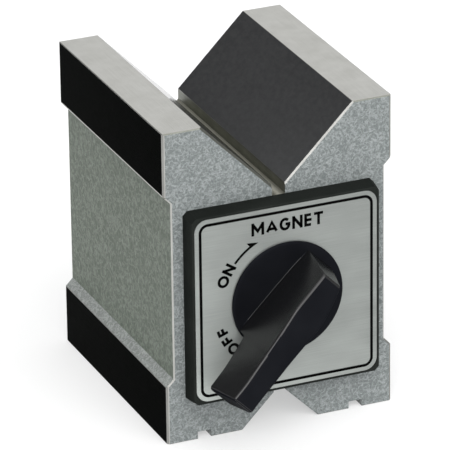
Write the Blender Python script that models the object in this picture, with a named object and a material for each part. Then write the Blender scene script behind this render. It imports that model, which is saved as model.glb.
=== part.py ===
"""Magnetic V-block: two steel pole blocks with a permanent-magnet rotor between them.

A lever knob on the front turns the rotor a quarter turn, from OFF to ON.
Metres, +Z up. The lever faces -Y, and the block stands on its two slotted feet at Z = 0.
Depths in this script are measured along +Y from the block's front face, so a negative depth
is in front of that face.
"""

import math

import bmesh
import bpy
from mathutils import Vector

MM = 0.001
GAP = 0.3 * MM

# Block
WIDTH = 70.0 * MM
LENGTH = 77.4 * MM
HEIGHT = 95.4 * MM
LAND = 12.0 * MM
HALF_SLOT = 2.0 * MM
GROOVE_DEPTH = 3.2 * MM
GROOVE_SAG = 1.0 * MM
UPPER_BAND = 19.1 * MM
LOWER_BAND = 17.8 * MM
RECESS = 2.2 * MM
FOOT_WIDTH = 23.2 * MM
FOOT_SLOT_X = 23.6 * MM
FOOT_SLOT_WIDTH = 4.1 * MM
FOOT_SLOT_DEPTH = 2.2 * MM
LOWER_SPACER_Z = 13.1 * MM
BAND_CHAMFER = 0.7 * MM
LAND_CHAMFER = 0.5 * MM

# Bore and its end plates
AXIS_Z = 41.9 * MM
BORE_RADIUS = 18.0 * MM
PLATE_SEAT_RADIUS = 24.2 * MM
FRONT_SEAT = 4.8 * MM
REAR_SEAT = 6.5 * MM
PLATE_SCREW_CIRCLE = 21.0 * MM
GASKET = 0.5 * MM

# Bezel and nameplate
BEZEL_BACK = 58.6 * MM
BEZEL_FRONT = 57.5 * MM
BEZEL_CORNER = 1.1 * MM
BEZEL_DEPTH = 5.3 * MM
NAMEPLATE = 56.0 * MM
NAMEPLATE_CORNER = 3.8 * MM
NAMEPLATE_THICKNESS = 0.8 * MM
BEZEL_SCREW_OFFSET = 23.0 * MM
KNOB_SEAT_RADIUS = 10.0 * MM

# Shaft and its bushes
SHAFT_RADIUS = 4.0 * MM
SHAFT_NECK_RADIUS = 3.0 * MM
RUNNING_GAP = 0.15 * MM
BUSH_RADIUS = 6.0 * MM
FLANGE_RADIUS = 8.0 * MM

# Rotor
ROTOR_RADIUS = 17.3 * MM
DISC_THICKNESS = 3.0 * MM
ROTOR_START = 7.1 * MM
ROTOR_END = 67.9 * MM
MAGNET_HALF_THICKNESS = 8.0 * MM
STOP_CIRCLE = 12.0 * MM
STOP_PIN_RADIUS = 1.5 * MM
STOP_ANGLE = -45.0
TURN = 90.0
SHOE_SCREW_X = 4.5 * MM
SHOE_SCREW_Z = 12.8 * MM
PIN_RADIUS = 1.0 * MM

# Knob
DISC_RADIUS = 17.0 * MM
DISC_FACE_HEIGHT = 6.2 * MM
DISC_CHAMFER = 0.5 * MM
HUB_RADIUS = 9.4 * MM
LEVER_ANGLE = 225.0
KNOB_REACH = 24.2 * MM

# Screws
SCREW_RADIUS = 1.5 * MM
SCREW_HEAD_RADIUS = 2.8 * MM
SCREW_LENGTH = 8.0 * MM
SMALL_SCREW_RADIUS = 1.1 * MM
SMALL_HEAD_RADIUS = 2.0 * MM

# Sides of the larger round pieces, of the smaller ones, and of screws and their holes
ROUND = 44
SMALL_ROUND = 28
HOLE_ROUND = 12

FRONT_Y = (KNOB_REACH - LENGTH) / 2
V_CORNER_Z = HEIGHT - (WIDTH / 2 - LAND - HALF_SLOT)

PAINT = ((0.40, 0.42, 0.42), 0.45, 0.3)
BRASS = ((0.72, 0.55, 0.25), 0.35, 1.0)
BRONZE = ((0.55, 0.38, 0.20), 0.4, 1.0)
STEEL = ((0.60, 0.60, 0.60), 0.3, 1.0)
IRON = ((0.35, 0.35, 0.36), 0.45, 1.0)
MAGNET = ((0.12, 0.12, 0.13), 0.6, 0.5)
ALUMINIUM = ((0.62, 0.63, 0.62), 0.4, 1.0)
BLACK_PLASTIC = ((0.015, 0.015, 0.018), 0.4, 0.0)
RUBBER = ((0.02, 0.02, 0.02), 0.8, 0.0)
GREY_PLASTIC = ((0.75, 0.75, 0.72), 0.5, 0.0)


def clear_scene():
    for item in list(bpy.data.objects):
        bpy.data.objects.remove(item)


def make_material(name, finish):
    color, roughness, metallic = finish
    material = bpy.data.materials.new(name)
    material.use_nodes = True
    shader = material.node_tree.nodes["Principled BSDF"]
    shader.inputs["Base Color"].default_value = (*color, 1.0)
    shader.inputs["Roughness"].default_value = roughness
    shader.inputs["Metallic"].default_value = metallic
    return material


def make_object(name, mesh_builder, parent, finish=None):
    """Turns a bmesh into an object under parent; with no finish it is a cutter."""
    bmesh.ops.recalc_face_normals(mesh_builder, faces=mesh_builder.faces)
    mesh = bpy.data.meshes.new(name)
    mesh_builder.to_mesh(mesh)
    mesh_builder.free()
    mesh.shade_smooth()
    mesh.set_sharp_from_angle(angle=math.radians(30))
    item = bpy.data.objects.new(name, mesh)
    bpy.context.collection.objects.link(item)
    item.parent = parent
    if finish is None:
        item.hide_render = True
        item.display_type = "WIRE"
    else:
        mesh.materials.append(make_material(name, finish))
    return item


def make_empty(name, location):
    empty = bpy.data.objects.new(name, None)
    empty.location = location
    bpy.context.collection.objects.link(empty)
    return empty


def add_boolean(item, cutter, operation="DIFFERENCE"):
    modifier = item.modifiers.new(cutter.name, "BOOLEAN")
    modifier.operation = operation
    modifier.solver = "EXACT"
    modifier.object = cutter


def arc(center, radius, start, end, steps):
    """Points on an arc, in degrees, both ends included."""
    points = []
    for step in range(steps + 1):
        angle = math.radians(start + (end - start) * step / steps)
        points.append((center[0] + radius * math.cos(angle), center[1] + radius * math.sin(angle)))
    return points


def add_frustum(builder, front_outline, start, back_outline, end):
    """Two outlines of (x, z) points with equal counts, at two depths, joined into a solid."""
    front = [builder.verts.new((x, start, z)) for x, z in front_outline]
    back = [builder.verts.new((x, end, z)) for x, z in back_outline]
    builder.faces.new(front)
    builder.faces.new(list(reversed(back)))
    for index in range(len(front)):
        following = (index + 1) % len(front)
        builder.faces.new((front[index], back[index], back[following], front[following]))


def add_prism(builder, outline, start, end):
    """An outline of (x, z) points carried along +Y from one depth to another."""
    add_frustum(builder, outline, start, outline, end)


def add_turned(builder, outline, segments, center=(0.0, 0.0), ring=False, socket=None):
    """An outline of (radius, depth) points turned about the Y axis through center.

    With ring set, the outline is a closed loop round a hole. With socket set to a ring's
    index and a hexagon's half width, the rings from that index on follow the hexagon.
    """
    rings = []
    for index, (radius, depth) in enumerate(outline):
        verts = []
        for step in range(segments):
            angle = 2 * math.pi * step / segments
            reach = radius
            if socket is not None and index >= socket:
                reach = radius / math.cos((angle % (math.pi / 3)) - math.pi / 6)
            x = center[0] + reach * math.cos(angle)
            z = center[1] + reach * math.sin(angle)
            verts.append(builder.verts.new((x, depth, z)))
        rings.append(verts)
    pairs = list(zip(rings, rings[1:]))
    if ring:
        pairs.append((rings[-1], rings[0]))
    else:
        builder.faces.new(rings[0])
        builder.faces.new(list(reversed(rings[-1])))
    for first, second in pairs:
        for step in range(segments):
            following = (step + 1) % segments
            builder.faces.new((first[step], second[step], second[following], first[following]))


def add_cylinder(builder, radius, start, end, center=(0.0, 0.0), segments=HOLE_ROUND):
    add_turned(builder, [(radius, start), (radius, end)], segments, center)


def add_cross_cylinder(builder, radius, start, end, depth, direction):
    """A cylinder lying across the axis at one depth, from one distance to another."""
    along = Vector((direction[0], 0.0, direction[1]))
    side = Vector((-direction[1], 0.0, direction[0]))
    inward = Vector((0.0, 1.0, 0.0))
    ends = []
    for distance in (start, end):
        middle = along * distance + inward * depth
        verts = []
        for step in range(HOLE_ROUND):
            angle = 2 * math.pi * step / HOLE_ROUND
            offset = side * (radius * math.cos(angle)) + inward * (radius * math.sin(angle))
            verts.append(builder.verts.new(middle + offset))
        ends.append(verts)
    builder.faces.new(ends[0])
    builder.faces.new(list(reversed(ends[1])))
    for step in range(HOLE_ROUND):
        following = (step + 1) % HOLE_ROUND
        builder.faces.new((ends[0][step], ends[1][step], ends[1][following], ends[0][following]))


def rounded_square(side, corner, steps):
    """A square centred on the axis, with round corners, or cut corners where steps is 1."""
    reach = side / 2 - corner
    points = []
    for quarter, (x, z) in enumerate(((reach, reach), (-reach, reach), (-reach, -reach), (reach, -reach))):
        points += arc((x, z), corner, 90 * quarter, 90 * quarter + 90, steps)
    return points


def square_pattern(offset):
    return [(x, z) for x in (-offset, offset) for z in (-offset, offset)]


# Block

def pole_outline(side):
    """One half of the block, seen from the front; side is -1 for the left half."""
    half = WIDTH / 2
    inner = half - FOOT_WIDTH
    slot_edge = FOOT_SLOT_WIDTH / 2
    meet = math.degrees(math.asin(HALF_SLOT / BORE_RADIUS))
    outline = [
        (inner, 0.0),
        (HALF_SLOT, inner - HALF_SLOT),
    ]
    outline += arc((0.0, AXIS_Z), BORE_RADIUS, -90 + meet, 90 - meet, 24)
    outline += [
        (HALF_SLOT, V_CORNER_Z),
        (half - LAND, HEIGHT),
        (half, HEIGHT),
        (half, HEIGHT - UPPER_BAND),
        (half - RECESS, HEIGHT - UPPER_BAND - RECESS),
        (half - RECESS, LOWER_BAND + RECESS),
        (half, LOWER_BAND),
        (half, 0.0),
        (FOOT_SLOT_X + slot_edge, 0.0),
        (FOOT_SLOT_X + slot_edge, FOOT_SLOT_DEPTH),
        (FOOT_SLOT_X - slot_edge, FOOT_SLOT_DEPTH),
        (FOOT_SLOT_X - slot_edge, 0.0),
    ]
    return [(side * x, z) for x, z in outline]


def chamfer_pole(builder):
    """Breaks the end edges of the side bands, then those of the lands."""
    half = WIDTH / 2
    near = 0.01 * MM
    band_edges = []
    for edge in builder.edges:
        first, second = (vert.co for vert in edge.verts)
        on_side = abs(abs(first.x) - half) < near and abs(abs(second.x) - half) < near
        if on_side and abs(first.y - second.y) < near:
            band_edges.append(edge)
    bmesh.ops.bevel(builder, geom=band_edges, offset=BAND_CHAMFER, segments=1, affect="EDGES")
    land_edges = []
    for edge in builder.edges:
        first, second = (vert.co for vert in edge.verts)
        on_land = min(first.z, second.z) > HEIGHT - near
        at_end = abs(first.y - second.y) < near and min(abs(first.y), abs(first.y - LENGTH)) < near
        if on_land and at_end:
            land_edges.append(edge)
    bmesh.ops.bevel(builder, geom=land_edges, offset=LAND_CHAMFER, segments=1, affect="EDGES")


def make_pole(name, side, block):
    builder = bmesh.new()
    add_prism(builder, pole_outline(side), 0.0, LENGTH)
    bmesh.ops.recalc_face_normals(builder, faces=builder.faces)
    chamfer_pole(builder)
    return make_object(name, builder, block, PAINT)


def make_spacers(block):
    """Brass strips in the slot over and under the bore; the upper one has a hollow top."""
    half = HALF_SLOT - GAP
    seat = BORE_RADIUS + GAP
    meet = math.degrees(math.asin(half / seat))
    top = V_CORNER_Z - GROOVE_DEPTH
    hollow_radius = (half * half + GROOVE_SAG * GROOVE_SAG) / (2 * GROOVE_SAG)
    spread = math.degrees(math.asin(half / hollow_radius))
    center = (0.0, top - GROOVE_SAG + hollow_radius)
    upper = arc((0.0, AXIS_Z), seat, 90 - meet, 90 + meet, 2)
    upper += arc(center, hollow_radius, -90 - spread, -90 + spread, 6)
    lower = arc((0.0, AXIS_Z), seat, -90 - meet, -90 + meet, 2)
    lower += [(half, LOWER_SPACER_Z), (-half, LOWER_SPACER_Z)]
    items = []
    for name, outline in (("upper_spacer", upper), ("lower_spacer", lower)):
        builder = bmesh.new()
        add_prism(builder, outline, 0.0, LENGTH)
        items.append(make_object(name, builder, block, BRASS))
    return items


def cut_block(items, axis):
    """End plate seats for all four pieces, and tapped holes."""
    past = 1.0 * MM
    builder = bmesh.new()
    add_cylinder(builder, PLATE_SEAT_RADIUS, -past, FRONT_SEAT, segments=ROUND)
    add_cylinder(builder, PLATE_SEAT_RADIUS, LENGTH - REAR_SEAT, LENGTH + past, segments=ROUND)
    seats = make_object("end_plate_seat_cutter", builder, axis)
    for item in items:
        add_boolean(item, seats)
    builder = bmesh.new()
    hole = SCREW_RADIUS + GAP
    rear_floor = LENGTH - REAR_SEAT
    for center in square_pattern(BEZEL_SCREW_OFFSET):
        add_cylinder(builder, hole, -past, SCREW_LENGTH + past, center)
    for center in square_pattern(PLATE_SCREW_CIRCLE / math.sqrt(2)):
        add_cylinder(builder, hole, FRONT_SEAT - past, FRONT_SEAT + SCREW_LENGTH, center)
        add_cylinder(builder, hole, rear_floor - SCREW_LENGTH, rear_floor + past, center)
    holes = make_object("tapped_hole_cutter", builder, axis)
    for item in items[:2]:
        add_boolean(item, holes)


# Screws

def make_copies(name, builder, centers, parent, finish):
    """One object for each centre, numbered from 1, all sharing one mesh."""
    first = make_object(f"{name}_1", builder, parent, finish)
    first.location = (centers[0][0], 0.0, centers[0][1])
    for index, center in enumerate(centers[1:], start=2):
        copy = bpy.data.objects.new(f"{name}_{index}", first.data)
        copy.location = (center[0], 0.0, center[1])
        copy.parent = parent
        bpy.context.collection.objects.link(copy)


def make_countersunk(name, centers, face, inward, length, parent):
    """Countersunk screws with a hexagon socket; their heads are flush with face."""
    taper = SCREW_HEAD_RADIUS - SCREW_RADIUS
    rim = 0.25 * MM
    socket_radius = 1.1 * MM
    socket_depth = 1.0 * MM
    outline = [
        (SCREW_RADIUS, face + inward * length),
        (SCREW_RADIUS, face + inward * (taper + rim)),
        (SCREW_HEAD_RADIUS, face + inward * rim),
        (SCREW_HEAD_RADIUS, face),
        (socket_radius, face),
        (socket_radius, face + inward * socket_depth),
    ]
    builder = bmesh.new()
    add_turned(builder, outline, HOLE_ROUND, socket=4)
    make_copies(name, builder, centers, parent, STEEL)


def add_countersink(builder, center, face, inward, length):
    """The clearance hole that a countersunk screw sits in."""
    taper = SCREW_HEAD_RADIUS - SCREW_RADIUS
    outline = [
        (SCREW_RADIUS + GAP, face + inward * length),
        (SCREW_RADIUS + GAP, face + inward * (taper + GAP)),
        (SCREW_HEAD_RADIUS + GAP, face + inward * GAP),
        (SCREW_HEAD_RADIUS + GAP, face - inward * MM),
    ]
    add_turned(builder, outline, HOLE_ROUND, center)


# Front of the block

def make_bezel(axis):
    """Drafted plastic frame, with a seat for the nameplate and a well for the knob's hub."""
    builder = bmesh.new()
    front = rounded_square(BEZEL_FRONT, BEZEL_CORNER, 1)
    back = rounded_square(BEZEL_BACK, BEZEL_CORNER, 1)
    add_frustum(builder, front, -BEZEL_DEPTH, back, -GAP)
    bezel = make_object("front_bezel", builder, axis, BLACK_PLASTIC)

    floor = -BEZEL_DEPTH + NAMEPLATE_THICKNESS + GAP
    builder = bmesh.new()
    seat = rounded_square(NAMEPLATE + 2 * GAP, NAMEPLATE_CORNER + GAP, 5)
    add_prism(builder, seat, -BEZEL_DEPTH - MM, floor)
    add_boolean(bezel, make_object("nameplate_seat_cutter", builder, axis))

    well = -BEZEL_DEPTH / 2
    builder = bmesh.new()
    outline = [
        (KNOB_SEAT_RADIUS, floor - MM),
        (KNOB_SEAT_RADIUS, well),
        (BUSH_RADIUS + 2 * GAP, well),
        (BUSH_RADIUS + 2 * GAP, MM),
    ]
    add_turned(builder, outline, SMALL_ROUND)
    for center in square_pattern(BEZEL_SCREW_OFFSET):
        add_countersink(builder, center, floor, 1.0, BEZEL_DEPTH)
    add_boolean(bezel, make_object("bezel_hole_cutter", builder, axis))
    centers = square_pattern(BEZEL_SCREW_OFFSET)
    make_countersunk("bezel_screw", centers, floor, 1.0, BEZEL_DEPTH + SCREW_LENGTH - 2 * MM, axis)


def make_nameplate(axis):
    builder = bmesh.new()
    start = -BEZEL_DEPTH
    add_prism(builder, rounded_square(NAMEPLATE, NAMEPLATE_CORNER, 5), start, start + NAMEPLATE_THICKNESS)
    plate = make_object("nameplate", builder, axis, ALUMINIUM)
    builder = bmesh.new()
    add_cylinder(builder, KNOB_SEAT_RADIUS, start - MM, start + 2 * MM, segments=SMALL_ROUND)
    add_boolean(plate, make_object("nameplate_hole_cutter", builder, axis))


def make_ring(name, parent, finish, inner, outer, start, end, segments=SMALL_ROUND):
    builder = bmesh.new()
    add_turned(builder, [(inner, start), (outer, start), (outer, end), (inner, end)], segments, ring=True)
    return make_object(name, builder, parent, finish)


def make_o_ring(axis):
    """Rubber ring between the shaft and the bezel's bore."""
    thickness = 1.0 * MM
    middle = SHAFT_RADIUS + GAP + thickness
    depth = -GAP - thickness
    builder = bmesh.new()
    add_turned(builder, arc((middle, depth), thickness, 0, 320, 8), SMALL_ROUND, ring=True)
    make_object("shaft_seal", builder, axis, RUBBER)


def make_bush(name, axis, plain_end, shoulder, flange_end):
    """A flanged bush: its barrel runs from the plain end to the shoulder, then the flange."""
    inner = SHAFT_RADIUS + RUNNING_GAP
    outline = [
        (inner, plain_end),
        (BUSH_RADIUS, plain_end),
        (BUSH_RADIUS, shoulder),
        (FLANGE_RADIUS, shoulder),
        (FLANGE_RADIUS, flange_end),
        (inner, flange_end),
    ]
    builder = bmesh.new()
    add_turned(builder, outline, SMALL_ROUND, ring=True)
    make_object(name, builder, axis, BRONZE)


def stop_point():
    angle = math.radians(STOP_ANGLE)
    return (STOP_CIRCLE * math.cos(angle), STOP_CIRCLE * math.sin(angle))


def make_front_plate(axis):
    """Bearing plate, its screws, gasket, bush and stop pin."""
    start = GAP
    end = FRONT_SEAT - GASKET - 2 * GAP
    centers = square_pattern(PLATE_SCREW_CIRCLE / math.sqrt(2))
    plate = make_ring("front_bearing_plate", axis, BRASS, BUSH_RADIUS + GAP, PLATE_SEAT_RADIUS - GAP,
                      start, end, ROUND)
    builder = bmesh.new()
    for center in centers:
        add_countersink(builder, center, start, 1.0, FRONT_SEAT)
    add_cylinder(builder, STOP_PIN_RADIUS + GAP, start - MM, end + MM, stop_point())
    add_boolean(plate, make_object("front_plate_cutter", builder, axis))
    make_countersunk("front_plate_screw", centers, start, 1.0, FRONT_SEAT + SCREW_LENGTH - 2 * MM, axis)
    make_ring("front_gasket", axis, RUBBER, BORE_RADIUS + GAP, PLATE_SCREW_CIRCLE - SCREW_RADIUS - GAP,
              end + GAP, end + GAP + GASKET, ROUND)
    shoulder = end + GAP
    make_bush("front_bush", axis, start, shoulder, shoulder + MM)
    make_ring("front_thrust_washer", axis, GREY_PLASTIC, SHAFT_RADIUS + GAP, FLANGE_RADIUS,
              shoulder + MM + GAP, ROTOR_START - GAP)
    builder = bmesh.new()
    add_cylinder(builder, STOP_PIN_RADIUS, start, ROTOR_START + DISC_THICKNESS - MM, stop_point())
    make_object("stop_pin", builder, axis, STEEL)


def make_rear_cover(axis):
    """Cover with a blind bush seat, its screws, gasket, bush and thrust washer."""
    start = LENGTH - REAR_SEAT + GASKET + 2 * GAP
    end = LENGTH - GAP
    wall = 1.2 * MM
    centers = square_pattern(PLATE_SCREW_CIRCLE / math.sqrt(2))
    builder = bmesh.new()
    outline = [
        (BUSH_RADIUS + GAP, end - wall),
        (BUSH_RADIUS + GAP, start),
        (PLATE_SEAT_RADIUS - GAP, start),
        (PLATE_SEAT_RADIUS - GAP, end),
    ]
    add_turned(builder, outline, ROUND)
    cover = make_object("rear_cover", builder, axis, ALUMINIUM)
    builder = bmesh.new()
    for center in centers:
        add_countersink(builder, center, end, -1.0, REAR_SEAT)
    add_boolean(cover, make_object("rear_cover_cutter", builder, axis))
    make_countersunk("rear_cover_screw", centers, end, -1.0, REAR_SEAT + SCREW_LENGTH - 2 * MM, axis)
    make_ring("rear_gasket", axis, RUBBER, BORE_RADIUS + GAP, PLATE_SCREW_CIRCLE - SCREW_RADIUS - GAP,
              LENGTH - REAR_SEAT + GAP, LENGTH - REAR_SEAT + GAP + GASKET, ROUND)
    shoulder = start - GAP
    make_bush("rear_bush", axis, end - wall - GAP, shoulder, shoulder - MM)
    make_ring("rear_thrust_washer", axis, GREY_PLASTIC, SHAFT_RADIUS + GAP, FLANGE_RADIUS,
              ROTOR_END + GAP, shoulder - MM - GAP)


# Rotor

def shoe_screw_centers():
    return [(x, z) for x in (-SHOE_SCREW_X, SHOE_SCREW_X) for z in (-SHOE_SCREW_Z, SHOE_SCREW_Z)]


def disc_hole_cutter(name, depth, slot, switch):
    """Screw holes and cross pin hole of one rotor disc, and the stop's arc slot."""
    builder = bmesh.new()
    for center in shoe_screw_centers():
        add_cylinder(builder, SMALL_SCREW_RADIUS + GAP, depth - MM, depth + DISC_THICKNESS + MM, center)
    middle = depth + DISC_THICKNESS / 2
    add_cross_cylinder(builder, PIN_RADIUS + GAP, -FLANGE_RADIUS, FLANGE_RADIUS, middle, (1.0, 0.0))
    if slot:
        half = STOP_PIN_RADIUS + GAP
        margin = math.degrees(2 * GAP / STOP_CIRCLE)
        first = STOP_ANGLE - margin
        last = STOP_ANGLE + TURN + margin
        reach = math.degrees(half / STOP_CIRCLE)
        outline = arc((0.0, 0.0), STOP_CIRCLE + half, first - reach, last + reach, 16)
        outline += arc((0.0, 0.0), STOP_CIRCLE - half, last + reach, first - reach, 16)
        add_prism(builder, outline, depth - MM, depth + DISC_THICKNESS + MM)
    return make_object(name, builder, switch)


def make_rotor_discs(switch):
    places = (("front_rotor_disc", ROTOR_START, True), ("rear_rotor_disc", ROTOR_END - DISC_THICKNESS, False))
    for name, depth, slot in places:
        disc = make_ring(name, switch, BRASS, SHAFT_RADIUS + GAP, ROTOR_RADIUS, depth,
                         depth + DISC_THICKNESS, ROUND)
        add_boolean(disc, disc_hole_cutter(name + "_cutter", depth, slot, switch))
        middle = depth + DISC_THICKNESS / 2
        reach = FLANGE_RADIUS - GAP
        builder = bmesh.new()
        add_cross_cylinder(builder, PIN_RADIUS, -reach, reach, middle, (1.0, 0.0))
        make_object(name.replace("rotor_disc", "drive_pin"), builder, switch, STEEL)


def make_magnet(switch):
    """The slab between the shoes, with the shaft's hole along it."""
    start = ROTOR_START + DISC_THICKNESS + GAP
    end = ROTOR_END - DISC_THICKNESS - GAP
    half = MAGNET_HALF_THICKNESS
    reach = math.sqrt(ROTOR_RADIUS ** 2 - half ** 2) - GAP
    builder = bmesh.new()
    add_prism(builder, [(-reach, -half), (reach, -half), (reach, half), (-reach, half)], start, end)
    magnet = make_object("rotor_magnet", builder, switch, MAGNET)
    builder = bmesh.new()
    add_cylinder(builder, SHAFT_RADIUS + GAP, start - MM, end + MM, segments=SMALL_ROUND)
    add_boolean(magnet, make_object("magnet_bore_cutter", builder, switch))


def make_shoes(switch):
    """Soft iron segments above and below the magnet, tapped at both ends."""
    start = ROTOR_START + DISC_THICKNESS + GAP
    end = ROTOR_END - DISC_THICKNESS - GAP
    depth = 7.0 * MM
    hole = SMALL_SCREW_RADIUS + GAP
    builder = bmesh.new()
    for center in shoe_screw_centers():
        add_cylinder(builder, hole, start - MM, start + depth, center)
        add_cylinder(builder, hole, end - depth, end + MM, center)
    holes = make_object("shoe_hole_cutter", builder, switch)
    spread = math.degrees(math.acos((MAGNET_HALF_THICKNESS + GAP) / ROTOR_RADIUS))
    for name, middle in (("upper_shoe", 90.0), ("lower_shoe", -90.0)):
        builder = bmesh.new()
        add_prism(builder, arc((0.0, 0.0), ROTOR_RADIUS, middle - spread, middle + spread, 20), start, end)
        add_boolean(make_object(name, builder, switch, IRON), holes)


def make_rotor_screws(switch):
    """Cheese-head screws, four at each end of the rotor."""
    head = 1.0 * MM
    length = DISC_THICKNESS + 6.0 * MM
    ends = (("front_rotor_screw", ROTOR_START, 1.0), ("rear_rotor_screw", ROTOR_END, -1.0))
    for name, face, inward in ends:
        outline = [
            (SMALL_SCREW_RADIUS, face + inward * length),
            (SMALL_SCREW_RADIUS, face - inward * GAP),
            (SMALL_HEAD_RADIUS, face - inward * GAP),
            (SMALL_HEAD_RADIUS, face - inward * (GAP + head)),
        ]
        builder = bmesh.new()
        add_turned(builder, outline, HOLE_ROUND)
        make_copies(name, builder, shoe_screw_centers(), switch, STEEL)


def make_shaft(switch):
    """Stepped shaft: a neck in the knob, then the full size through both bushes."""
    neck_end = -BEZEL_DEPTH / 2
    front = -16.2 * MM
    back = LENGTH - 2.4 * MM
    chamfer = 0.5 * MM
    outline = [
        (SHAFT_NECK_RADIUS - chamfer, front),
        (SHAFT_NECK_RADIUS, front + chamfer),
        (SHAFT_NECK_RADIUS, neck_end),
        (SHAFT_RADIUS, neck_end),
        (SHAFT_RADIUS, back - chamfer),
        (SHAFT_RADIUS - chamfer, back),
    ]
    builder = bmesh.new()
    add_turned(builder, outline, SMALL_ROUND)
    shaft = make_object("shaft", builder, switch, STEEL)
    builder = bmesh.new()
    for depth in (ROTOR_START, ROTOR_END - DISC_THICKNESS):
        middle = depth + DISC_THICKNESS / 2
        add_cross_cylinder(builder, PIN_RADIUS + GAP, -FLANGE_RADIUS, FLANGE_RADIUS, middle, (1.0, 0.0))
    add_boolean(shaft, make_object("shaft_pin_hole_cutter", builder, switch))


# Knob

def lever_stations():
    """Cross sections of the lever from tail to tip, in millimetres.

    Each is (distance along the lever at its front and at its back, half width at its front
    and at its back, height of its front and of its back above the block's front face).
    """
    floor = 5.9
    return [
        (-12.0, -14.2, 3.4, 5.2, 18.3, floor),
        (-6.5, -7.0, 4.4, 5.6, 19.9, floor),
        (0.0, 0.0, 5.1, 5.7, 21.1, floor),
        (5.0, 5.0, 4.8, 5.7, 21.7, floor),
        (10.0, 10.0, 4.4, 5.7, 22.2, floor),
        (15.6, 15.6, 4.1, 5.6, 22.7, floor),
        (16.0, 16.0, 4.1, 5.2, 22.8, 8.8),
        (21.0, 21.0, 3.9, 5.0, 23.3, 10.3),
        (26.0, 26.4, 3.7, 4.7, 23.8, 11.1),
        (30.5, 32.3, 3.5, 4.4, 24.2, 12.0),
    ]


def add_lever(builder):
    """The bar across the disc, lofted through its cross sections."""
    angle = math.radians(LEVER_ANGLE)
    along = Vector((math.cos(angle), 0.0, math.sin(angle)))
    side = Vector((-along.z, 0.0, along.x))
    sections = []
    for front_at, back_at, front_half, back_half, front_height, back_height in lever_stations():
        corners = []
        for sign in (-1.0, 1.0):
            corners.append(along * front_at + side * (sign * front_half) - Vector((0.0, front_height, 0.0)))
        for sign in (1.0, -1.0):
            corners.append(along * back_at + side * (sign * back_half) - Vector((0.0, back_height, 0.0)))
        sections.append([builder.verts.new(corner * MM) for corner in corners])
    builder.faces.new(sections[0])
    builder.faces.new(list(reversed(sections[-1])))
    for first, second in zip(sections, sections[1:]):
        for index in range(4):
            following = (index + 1) % 4
            builder.faces.new((first[index], second[index], second[following], first[following]))
    bmesh.ops.triangulate(builder, faces=builder.faces)


def make_knob(switch):
    """Disc and hub, with the lever joined on and the holes for the shaft and its grub screw."""
    hub_start = -BEZEL_DEPTH / 2 - GAP
    disc_back = -BEZEL_DEPTH - GAP
    outline = [
        (HUB_RADIUS, hub_start),
        (HUB_RADIUS, disc_back),
        (DISC_RADIUS, disc_back),
        (DISC_RADIUS, -DISC_FACE_HEIGHT + DISC_CHAMFER / 2),
        (DISC_RADIUS - DISC_CHAMFER, -DISC_FACE_HEIGHT),
    ]
    builder = bmesh.new()
    add_turned(builder, outline, ROUND)
    knob = make_object("knob", builder, switch, BLACK_PLASTIC)
    builder = bmesh.new()
    add_lever(builder)
    add_boolean(knob, make_object("lever_joiner", builder, switch), "UNION")

    angle = math.radians(LEVER_ANGLE)
    hidden_side = (-math.sin(angle), math.cos(angle))
    bore = SHAFT_NECK_RADIUS + GAP
    bore_end = -16.5 * MM
    grub_depth = -12.0 * MM
    grub_length = 1.8 * MM
    past_side = 9.0 * MM
    builder = bmesh.new()
    add_cylinder(builder, bore, bore_end, hub_start + MM, segments=SMALL_ROUND)
    add_boolean(knob, make_object("knob_bore_cutter", builder, switch))
    builder = bmesh.new()
    add_cross_cylinder(builder, SCREW_RADIUS + GAP, 0.0, past_side, grub_depth, hidden_side)
    add_boolean(knob, make_object("grub_hole_cutter", builder, switch))
    builder = bmesh.new()
    add_cross_cylinder(builder, SCREW_RADIUS, bore, bore + grub_length, grub_depth, hidden_side)
    make_object("grub_screw", builder, switch, STEEL)


def main():
    clear_scene()
    block = make_empty("block_origin", (0.0, FRONT_Y, 0.0))
    axis = make_empty("bore_axis", (0.0, FRONT_Y, AXIS_Z))
    switch = make_empty("switch_axis", (0.0, FRONT_Y, AXIS_Z))
    poles = [make_pole("left_pole", -1.0, block), make_pole("right_pole", 1.0, block)]
    cut_block(poles + make_spacers(block), axis)
    make_bezel(axis)
    make_nameplate(axis)
    make_o_ring(axis)
    make_front_plate(axis)
    make_rear_cover(axis)
    make_rotor_discs(switch)
    make_magnet(switch)
    make_shoes(switch)
    make_rotor_screws(switch)
    make_shaft(switch)
    make_knob(switch)


main()
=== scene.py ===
import math

import bmesh
import bpy
from mathutils import Matrix, Vector


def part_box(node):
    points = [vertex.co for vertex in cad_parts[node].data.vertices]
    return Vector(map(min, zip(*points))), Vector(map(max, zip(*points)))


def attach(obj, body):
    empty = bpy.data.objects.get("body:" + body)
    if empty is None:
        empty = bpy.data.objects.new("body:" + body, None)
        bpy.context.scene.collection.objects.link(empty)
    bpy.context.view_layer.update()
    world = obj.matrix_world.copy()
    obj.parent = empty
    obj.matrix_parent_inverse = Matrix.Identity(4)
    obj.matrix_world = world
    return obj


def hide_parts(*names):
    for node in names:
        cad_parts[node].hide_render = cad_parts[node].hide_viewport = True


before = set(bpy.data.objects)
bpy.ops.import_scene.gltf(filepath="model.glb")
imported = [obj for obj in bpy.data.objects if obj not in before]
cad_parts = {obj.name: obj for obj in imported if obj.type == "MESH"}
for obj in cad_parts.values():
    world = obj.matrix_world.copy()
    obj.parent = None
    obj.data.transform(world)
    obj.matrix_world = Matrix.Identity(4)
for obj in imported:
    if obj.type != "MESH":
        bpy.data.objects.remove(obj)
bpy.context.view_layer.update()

MM = 0.001

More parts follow.
